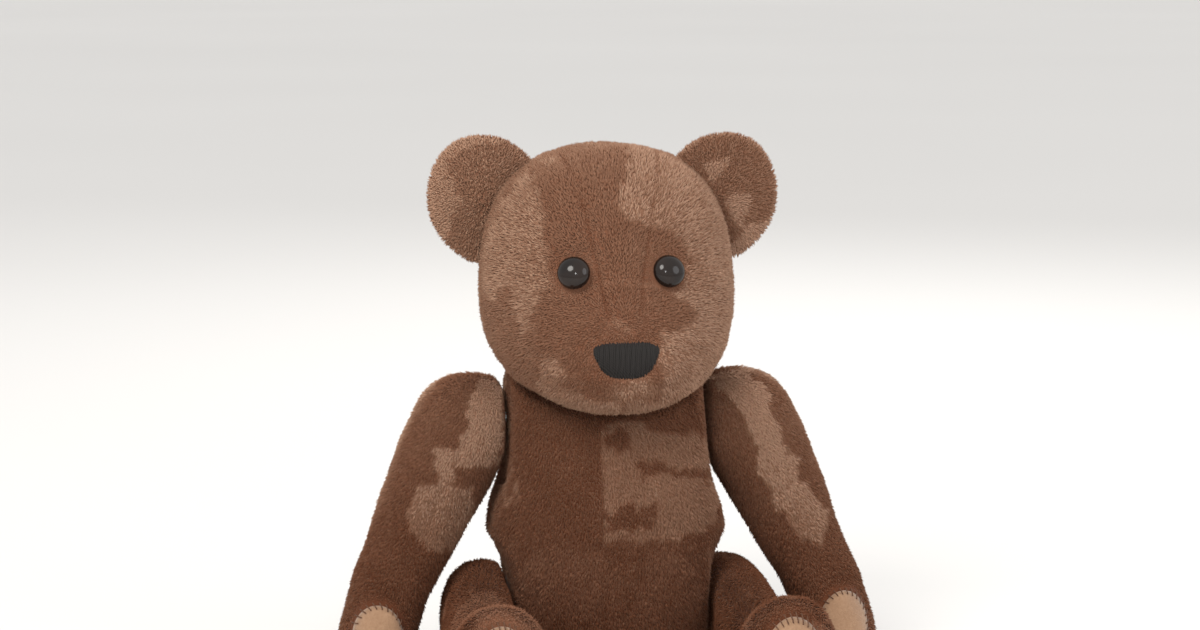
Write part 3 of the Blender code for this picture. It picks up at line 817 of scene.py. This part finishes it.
muzzle = np.clip(1.25 - np.hypot(x, z - 176) / 34, 0, 1) * ahead
head_tone = 0.68 + 0.19 * lit - 0.09 * muzzle * (1 - face) + 0.05 * wander(head_at, 70.0, (1, 2, 1))
brow = gap_to_path(head_at, brow_seam)
seam = gap_to_paths(head_at, *gusset_seams, chin_seam)
# A painted highlight along the brow seam, and painted shade in the gusset and chin seams.
head_tone = head_tone + 0.16 * on_line(brow, 0.0012) - 0.17 * on_line(seam, 0.0010)
eye_gaps = [np.linalg.norm(np.cross(head_at - np.array(place), np.array(axis)), axis=1)
            for place, axis in eye_places.values()]
eye_gap = np.minimum(*eye_gaps) + 0.1 * (y > 0)
under_nose = patch(x, z, nose_rim, 2.6) * (y < -60)
head_length = (full_pile - 0.0008 * muzzle) * np.clip((eye_gap - 0.0074) / 0.006, 0.0, 1)
head_length = head_length * (1 - under_nose)
head_length = head_length * (1 - 0.5 * on_line(brow, 0.0014)) * (1 - 0.5 * on_line(seam, 0.0015))
head_length = np.minimum(head_length, room_for_pile(head_at, "head_cover"))
from_nose = head_at - np.array((0, -0.09, 0.205))
from_nose = from_nose / np.linalg.norm(from_nose, axis=1)[:, None] + np.array((0, 0.2, -0.15))
dress("head_*", head_skin, head_tone, head_length, from_nose, "head",
      "head_cover", 41, part=y > -10)

# ---------------------------------------------------------------- the ears
# Two discs of the same plush sewn face to face, turned, left almost unstuffed and cupped
# forward, with the lower edge whipped along the gusset seam on each side of the head.

sides = ((1, "left"), (-1, "right"))
ear_half_wide = 28.3
ear_half_high = 32.6
for side, word in sides:
    lean = Matrix.Rotation(side * math.radians(24), 3, "Y")
    middle = Vector((side * 0.058, 0.002, 0.2465))
    rings = 60
    around = 96
    ear_grid = np.zeros((rings + 1, around, 3))
    for ring in range(rings + 1):
        angle = math.pi * ring / rings
        spread = math.sin(angle) ** 0.82
        front = math.cos(angle)
        for column in range(around):
            turn_by = 2 * math.pi * column / around
            out = spread * (1 + 0.008 * math.sin(5 * turn_by + side))
            thick = 7.0 * front * abs(front) ** 0.25
            cup = (7.2 if front > 0 else 3.4) * (1 - min(1.0, spread) ** 2.2)
            spot = Vector((out * ear_half_wide * math.cos(turn_by), -thick + cup,
                           out * ear_half_high * math.sin(turn_by)))
            spot *= 1 - 0.018 * math.exp(-(front / 0.10) ** 2)
            ear_grid[ring, column] = middle + lean @ (spot * 0.001)
    ear_skin = grid_mesh(f"ear_fabric_{word}", ear_grid)
    ear_at = as_vertices(ear_grid)
    home = (ear_at - np.array(middle)) @ np.array(lean)
    a, _, c = (home * 1000).T
    normals = np.array([v.normal for v in ear_skin.vertices]) @ np.array(lean)
    facing = np.clip(0.5 - normals[:, 1] * 2, 0, 1)
    from_rim = 1 - np.hypot(a / ear_half_wide, c / ear_half_high)
    torn_x, torn_z = ragged(ear_at, 2.4, 150.0, 1.4, 340.0,
                            ((2, 2, 7 * side), (1, 6, 2), (6, 1, 3), (4, 4, 1)))
    # Painted light and shade on the ear fronts: painted shade in the cup of the right ear, light spots and
    # a painted light rim on the left ear; the backs get random patches.
    if side < 0:
        dark = [(-65, 274), (-45, 276), (-33, 265), (-37, 258), (-45, 254), (-50, 243), (-60, 227),
                (-65, 214), (-67, 206), (-78, 217), (-79, 227), (-75, 240), (-70, 249), (-78, 258),
                (-79, 265), (-72, 271)]
        front_tone = 0.82 + 0.30 * (1 - patch(torn_x, torn_z, dark))
    else:
        light = [[(51, 263), (56, 265), (64, 265), (61, 260), (58, 256), (53, 255)],
                 [(60, 245), (65, 248), (74, 248), (71, 238), (69, 232), (65, 236)],
                 [(40, 243), (47, 237), (49, 240), (51, 245), (53, 241), (59, 240), (60, 227), (64, 225),
                  (68, 226), (70, 232), (80, 234), (90, 237), (90, 200), (40, 200)]]
        spots = np.maximum.reduce([patch(torn_x, torn_z, outline) for outline in light])
        front_tone = 0.75 + 0.26 * spots + 0.12 * np.clip(0.5 + (0.05 - from_rim) / 0.04, 0, 1)
    back_tone = 0.60 + 0.24 * mottle(ear_at, (3.0 + side, 2.0, 9.0))
    ear_tone = facing * front_tone + (1 - facing) * back_tone
    seam = on_line(normals[:, 1], 0.16) * (from_rim < 0.12)
    against_head = c < -24
    ear_length = np.where(against_head, 0.0010, 0.0022) * (1 - 0.35 * seam)
    outward = (ear_at - np.array(middle)) / 0.03 + np.array((0, 0.1, 0.1))
    dress(f"ear_*_{word}", ear_skin, ear_tone, ear_length, outward, "head",
          f"ear_{word}", 61 + side, density=1.75e6)

# ---------------------------------------------------------------- the eyes
# Domed safety eyes of near-black brown plastic, moulded in one with a shank that goes
# through the face to a nylon washer.

eye_finish = Finish("polished_eye", {"Specular IOR Level": 0.32})
eye_depth = eye_finish.grain(90.0, 2.0)
eye_finish.dye(eye_depth, (0.3, (22, 17, 15)), (0.75, (38, 28, 23)))
eye_finish.feed("Roughness", 0.09 + eye_finish.grain(520.0, 2.0) * 0.05)

for word, (place, axis) in eye_places.items():
    profile = [(8.0 * math.sin(math.radians(a)), 1.6 + 5.4 * math.cos(math.radians(a)))
               for a in range(0, 91, 5)]
    profile += [(7.9, 1.0), (7.4, 0.55), (6.5, 0.5), (1.9, 0.5), (1.9, -9.0), (0.0, -9.0)]
    button = bmesh.new()
    corners = [button.verts.new((r * 0.001, 0, h * 0.001)) for r, h in profile]
    for a, b in zip(corners[:-1], corners[1:]):
        button.edges.new((a, b))
    bmesh.ops.spin(button, geom=button.verts[:] + button.edges[:], cent=(0, 0, 0), axis=(0, 0, 1),
                   angle=2 * math.pi, steps=56, use_merge=True)
    bmesh.ops.remove_doubles(button, verts=button.verts, dist=0.00001)
    facing = Vector(axis).normalized()
    aimed = Matrix.Translation(place) @ facing.to_track_quat("Z", "Y").to_matrix().to_4x4()
    bmesh.ops.transform(button, matrix=aimed, verts=button.verts)
    if button.calc_volume(signed=True) < 0:
        bmesh.ops.reverse_faces(button, faces=button.faces)
    eye_mesh = bpy.data.meshes.new(f"eye_button_{word}")
    button.to_mesh(eye_mesh)
    button.free()
    eye_mesh.shade_smooth()
    eye_mesh.set_sharp_from_angle(angle=math.radians(50))
    eye_mesh.materials.append(eye_finish.material)
    eye_button = add_piece(f"eye_button_{word}", eye_mesh, "head")
    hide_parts(f"eye_{word}")

# ---------------------------------------------------------------- the nose
# Black cotton worked over a felt shape in upright satin stitches, side by side, each one
# going into the muzzle above and below.

thread = Growth("thread", [("Path", "NodeSocketGeometry"), ("Radius", "NodeSocketFloat"),
                           ("Thread", "NodeSocketMaterial")], "Stitches")
section = thread.node("GeometryNodeCurvePrimitiveCircle", {
    "Resolution": 6, "Radius": thread.given["Radius"]})
strands = thread.node("GeometryNodeCurveToMesh", {
    "Curve": thread.given["Path"], "Profile Curve": section, "Fill Caps": True})
solid = thread.node("GeometryNodeRealizeInstances", {0: strands})
thread.finish(thread.node("GeometryNodeSetMaterial", {
    "Geometry": solid, "Material": thread.given["Thread"]}))


def sew(name, paths, radius, finish, body):
    """Round strands of thread along the given paths, as one piece."""
    lines = bpy.data.curves.new(f"{name}_path", "CURVE")
    lines.dimensions = "3D"
    for path in paths:
        spline = lines.splines.new("POLY")
        spline.points.add(len(path) - 1)
        for point, spot in zip(spline.points, path):
            point.co = (*spot, 1)
    mesh = made_by(thread, lines, {"Radius": radius, "Thread": finish.material}, name)
    shape = bmesh.new()
    shape.from_mesh(mesh)
    bmesh.ops.recalc_face_normals(shape, faces=shape.faces)
    shape.to_mesh(mesh)
    shape.free()
    mesh.shade_smooth()
    add_piece(name, mesh, body)


def thread_finish(name, dark, light):
    """Twisted cotton: fine slanting plies along a soft matt strand."""
    cotton = Finish(name, {"Sheen Weight": 0.08, "Sheen Roughness": 0.4, "Roughness": 0.66,
                           "Specular IOR Level": 0.25})
    plies = cotton.node("ShaderNodeTexWave", {"wave_type": "BANDS", "bands_direction": "DIAGONAL"},
                        {"Vector": cotton.place(), "Scale": 520.0, "Distortion": 1.2}, "Fac")
    cotton.dye(plies * 0.6 + cotton.grain(900.0) * 0.4, (0.2, dark), (0.8, light))
    cotton.emboss(plies, 0.4, 0.0002)
    return cotton


black_cotton = thread_finish("black_cotton", (17, 15, 14), (41, 37, 35))
head_outside = ray_tree(head_skin)


def on_face(across, height, lift):
    """A point on the front of the head, lifted off it, from millimetres across and up."""
    hit = head_outside.ray_cast(Vector((across * 0.001, -0.2, height * 0.001)), Vector((0, 1, 0)))
    return hit[0] + hit[1] * lift * 0.001


strand_count = 47
nose_strands = []
half_wide = max(p[0] for p in nose_rim)
for step in range(strand_count):
    across = -half_wide + 0.5 + (2 * half_wide - 1.0) * step / (strand_count - 1)
    edges = [z0 + (across - x0) * (z1 - z0) / (x1 - x0 + 1e-9)
             for (x0, z0), (x1, z1) in zip(nose_rim, nose_rim[1:] + nose_rim[:1])
             if (x0 - across) * (x1 - across) <= 0]
    top = max(edges) + 0.35 * math.sin(step * 2.4)
    bottom = min(edges) - 0.35 * math.sin(step * 3.1)
    crown = 2.5 * math.sqrt(max(0.0, 1 - (across / (half_wide + 1.2)) ** 2))
    strand = []
    for number in range(11):
        share = number / 10
        height = top + (bottom - top) * share
        bulge = (1 - abs(2 * share - 1) ** 3.2) * crown
        strand.append(on_face(across + 0.15 * math.sin(step * 1.7 + share * 3), height, bulge - 0.5))
    nose_strands.append(strand)
sew("nose_stitches", nose_strands, 0.00046, black_cotton, "head")

def nose_ring(share, lift):
    """The rim of the nose shrunk towards its middle and lifted off the face."""
    return [on_face(px * share, nose_height + (pz - nose_height) * share, lift) for px, pz in nose_rim]


pad_rows = 10
pad_grid = []
for row in range(pad_rows + 1):
    share = row / pad_rows
    pad_grid.append(nose_ring(share * 0.95, 1.95 * math.sqrt(max(0.0, 1 - share ** 3)) - 0.3))
pad_grid += [nose_ring(0.90, -1.6), nose_ring(0.0, -1.9)]
nose_mesh = grid_mesh("nose_felt", np.array(pad_grid))
black_felt = Finish("black_felt", {"Roughness": 0.95, "Sheen Weight": 0.3, "Specular IOR Level": 0.1})
black_felt.dye(black_felt.grain(800.0), (0.3, (20, 18, 17)), (0.7, (36, 33, 31)))
nose_mesh.materials.append(black_felt.material)
nose_felt = add_piece("nose_felt", nose_mesh, "head")
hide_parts("nose")

# ---------------------------------------------------------------- the arms
# Each arm is two curved panels seamed front and back, stuffed firm and tapering up to the
# shoulder disc, with a felt palm let into the front of the paw.

limb_flat = 0.0504


def arm_seams(side):
    """The seams down the front and the back of an arm."""
    front = [(side * 0.070, -0.0262, 0.135), (side * 0.082, -0.0268, 0.112),
             (side * 0.0955, -0.0288, 0.082), (side * 0.108, -0.034, 0.056)]
    back = [(side * 0.070, 0.0262, 0.135), (side * 0.082, 0.0268, 0.112),
            (side * 0.0955, 0.0225, 0.082), (side * 0.112, 0.013, 0.045), (side * 0.119, 0.002, 0.020)]
    return front, back


felt_brown = Finish("tan_felt", {"Roughness": 0.92, "Sheen Weight": 0.35, "Specular IOR Level": 0.12})
felt_fibre = felt_brown.grain(750.0, 6.0, 0.75)
felt_wear = felt_brown.grain(55.0, 3.0)
felt_brown.dye(felt_fibre * 0.6 + felt_wear * 0.4, (0.25, (128, 98, 74)), (0.5, (150, 118, 92)),
               (0.8, (170, 138, 110)))
felt_brown.emboss(felt_fibre, 0.7, 0.0006)
brown_cotton = thread_finish("brown_cotton", (70, 44, 30), (112, 78, 56))


def felt_pad(label, skin, body, node, centre, facing, half_wide, half_high):
    """A felt panel laid on the plush, a little crowned, with its edge whipped down by hand."""
    thick = 0.0021
    tree = ray_tree(skin)
    facing = Vector(facing).normalized()
    across = Vector((0, 0, 1)).cross(facing).normalized()
    rise = facing.cross(across)

    def lay(share, angle, lift):
        u = share * math.cos(angle)
        v = share * math.sin(angle)
        start = Vector(centre) + across * (u * half_wide) + rise * (v * half_high) + facing * 0.06
        hit = tree.ray_cast(start, -facing)
        return hit[0] + facing * lift

    rings = 12
    around = 64
    levels = [(0, thick)]
    for ring in range(1, rings + 1):
        share = ring / rings
        levels.append((share, thick * max(0.0, 1 - share ** 7) ** 0.5 + 0.0004))
    levels += [(0.98, -0.0006), (0, -0.0006)]
    angles = np.linspace(0, 2 * math.pi, around, endpoint=False)
    grid = [[lay(share, angle, lift) for angle in angles] for share, lift in levels]
    mesh = grid_mesh(f"{label}_felt", np.array(grid))
    mesh.materials.append(felt_brown.material)
    felt = add_piece(f"{label}_felt", mesh, body)
    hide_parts(node)
    whips = []
    count = int(math.pi * (half_wide + half_high) / 0.0034)
    slant = 0.4 * 2 * math.pi / count
    for number in range(count):
        start_at = 2 * math.pi * number / count
        whips.append([lay(share, start_at + slant * (share - 0.9) / 0.17, lift)
                      for share, lift in ((0.90, 0.0004), (0.92, 0.0024), (0.97, 0.0026),
                                          (1.02, 0.0021), (1.06, 0.0009), (1.075, -0.0008))])
    sew(f"{label}_whip_stitches", whips, 0.00032, brown_cotton, body)


for side, word in sides:
    body = f"{word}_arm"
    node = f"arm_cover_{word}"
    spine = ((side * 0.073, 0.0, 0.136), (side * 0.115, -0.017, 0.034))
    palm_middle = (side * 0.116, -0.040, 0.035)
    front_seam, back_seam = arm_seams(side)

    def arm_held(places):
        near_joint = places[:, 0] * side < 0.0535
        seam = gap_to_paths(places, front_seam, back_seam)
        palm = np.linalg.norm((places - np.array(palm_middle)) / np.array((1, 1, 1.3)), axis=1)
        return np.maximum.reduce([on_line(seam, 0.004), near_joint, palm < 0.014])

    sewn = [(front_seam, 0.0010, 0.0026), (back_seam, 0.0010, 0.0026)]
    arm_grid = stuffed(f"arm_fabric_{word}", node, spine, 0.022, 150, 124, arm_held, sewn)
    arm_grid[..., 0] = side * np.maximum(side * arm_grid[..., 0], limb_flat)
    arm_skin = grid_mesh(f"arm_fabric_{word}", arm_grid)
    arm_at = as_vertices(arm_grid)
    x, y, z = (arm_at * 1000).T
    torn_x, torn_z = ragged(arm_at, 4.0, 110.0, 2.5, 320.0)
    ahead = np.clip((-y + 2) / 12, 0, 1)
    # Painted light and shade: the light patches on the front copy the crushed pile's light.
    if side < 0:
        base_tone = 0.44
        light = [[(-60, 166), (-52, 158), (-54, 117), (-66, 116), (-80, 122), (-72, 141)],
                 [(-88, 127), (-77, 127), (-76, 111), (-88, 110)],
                 [(-99, 109), (-85, 111), (-69, 108), (-66, 88), (-77, 76), (-93, 79), (-101, 92)]]
    else:
        base_tone = 0.48
        light = [[(50, 170), (72, 160), (83, 139), (97, 110), (112, 89), (108, 74), (94, 80), (84, 96),
                  (76, 112), (66, 140), (56, 152)]]
    patches = np.maximum.reduce([patch(torn_x, torn_z, outline) for outline in light])
    lit = ahead * patches + (1 - ahead) * mottle(arm_at, (5.0 * side, 2.0, 4.0))
    seam = gap_to_paths(arm_at, front_seam, back_seam)
    # Painted light from above: the arm is lighter towards the shoulder and darker towards the paw, and
    # painted shade makes the seams darker.
    arm_tone = base_tone + 0.38 * lit + 0.16 * np.clip((z - 90) / 50, -0.6, 1)
    arm_tone = arm_tone + 0.05 * wander(arm_at, 60.0, (2, 1, 1)) - 0.12 * on_line(seam, 0.0011)
    palm = np.hypot((x - side * 116) / 13.0, (z - 35) / 17.5) + 5 * (y > -25)
    arm_length = full_pile * (1 - 0.4 * on_line(seam, 0.0016)) * np.clip((palm - 1.0) / 0.35, 0.12, 1)
    arm_length = np.minimum(arm_length, room_for_pile(arm_at, node))
    downward = combed(0.45 * side, -0.12 + 0.2 * np.sin(z / 15), -1)
    dress(f"arm_*_{word}", arm_skin, arm_tone, arm_length, downward, body,
          node, 81 + side)
    felt_pad(f"paw_{word}", arm_skin, body, f"paw_pad_{word}", palm_middle,
             (side * -0.10, -1.0, 0.10), 0.0125, 0.017)

# ---------------------------------------------------------------- the legs
# Each leg is two panels seamed along the top and underneath, swelling to a big foot whose
# flat sole is closed with a felt oval.

for side, word in sides:
    body = f"{word}_leg"
    node = f"leg_cover_{word}"
    spine = ((side * 0.066, -0.002, 0.035), (side * 0.0678, -0.126, 0.0385))
    sole_middle = (side * 0.06775, -0.148, 0.040)
    top_seam = [(side * 0.063, 0.006, 0.066), (side * 0.064, -0.04, 0.0635),
                (side * 0.067, -0.08, 0.055), (side * 0.0678, -0.105, 0.0575),
                (side * 0.0678, -0.125, 0.072)]
    under_seam = [(side * 0.063, 0.006, 0.004), (side * 0.064, -0.04, 0.004), (side * 0.067, -0.08, 0.004),
                  (side * 0.0678, -0.125, 0.0035)]
    sole_edge = [(side * 0.0678 + 0.0215 * math.cos(t), -0.1465, 0.040 + 0.0325 * math.sin(t))
                 for t in np.linspace(0, 2 * math.pi, 33)]

    def leg_held(places):
        near_joint = (places[:, 0] * side < 0.0535) & (places[:, 1] > -0.095)
        seam = gap_to_paths(places, top_seam, under_seam, sole_edge)
        return np.maximum.reduce([on_line(seam, 0.004), near_joint, places[:, 1] < -0.144,
                                  places[:, 2] < 0.005])

    sewn = [(top_seam, 0.0010, 0.0026), (under_seam, 0.0008, 0.0026), (sole_edge, 0.0009, 0.0022)]
    leg_grid = stuffed(f"leg_fabric_{word}", node, spine, 0.026, 160, 132, leg_held, sewn)
    inner = np.where(leg_grid[..., 1] > -0.100, limb_flat, 0.0)
    leg_grid[..., 0] = side * np.maximum(side * leg_grid[..., 0], inner)
    leg_grid[..., 2] = np.maximum(leg_grid[..., 2], 0.0008)
    leg_skin = grid_mesh(f"leg_fabric_{word}", leg_grid)
    leg_at = as_vertices(leg_grid)
    x, y, z = (leg_at * 1000).T
    # Painted light and shade: random crushed-pile patches, and the leg lighter at the top and darker low
    # down.
    lit = mottle(leg_at, (4.0, 9.0 * side, 3.0))
    leg_tone = 0.30 + 0.26 * lit + 0.05 * wander(leg_at, 60.0, (2, 5, 1))
    leg_tone = leg_tone + 0.10 * np.clip((z - 40) / 40, -1, 1)
    seam = gap_to_paths(leg_at, top_seam, under_seam)
    sole = np.hypot((x - side * 67.75) / 16.5, (z - 40) / 27.5) + 5 * (y > -135)
    leg_length = full_pile * (1 - 0.4 * on_line(seam, 0.0016)) * np.clip((sole - 1.0) / 0.25, 0.12, 1)
    leg_length = np.minimum(leg_length, 0.0004 + np.maximum(z - 1.5, 0) * 0.0005)
    leg_length = np.minimum(leg_length, room_for_pile(leg_at, node))
    dress(f"leg_*_{word}", leg_skin, leg_tone, leg_length, combed(0.1 * side, -1, 0 * z - 0.15), body,
          node, 101 + side)
    felt_pad(f"foot_{word}", leg_skin, body, f"foot_pad_{word}", sole_middle, (0, -1, 0), 0.016, 0.027)

# ---------------------------------------------------------------- the closing seam
# The back of the torso is shut last, by hand, with a ladder stitch in brown cotton.

rung_count = 22
rung_step = 0.0042
torso_outside = ray_tree(torso_skin)
ladder = []
for number in range(rung_count):
    height = 0.048 + number * rung_step
    rung = []
    for share, lift in ((-1.0, -0.0008), (-0.85, 0.0008), (-0.3, 0.0011), (0.3, 0.0011),
                        (0.85, 0.0008), (1.0, -0.0008)):
        start = Vector((share * 0.0026, 0.2, height + share * 0.0006))
        hit = torso_outside.ray_cast(start, Vector((0, -1, 0)))
        rung.append(hit[0] + hit[1] * lift)
    ladder.append(rung)
sew("back_ladder_stitches", ladder, 0.0004, brown_cotton, "torso")

bpy.data.objects.remove(tuft_shape)
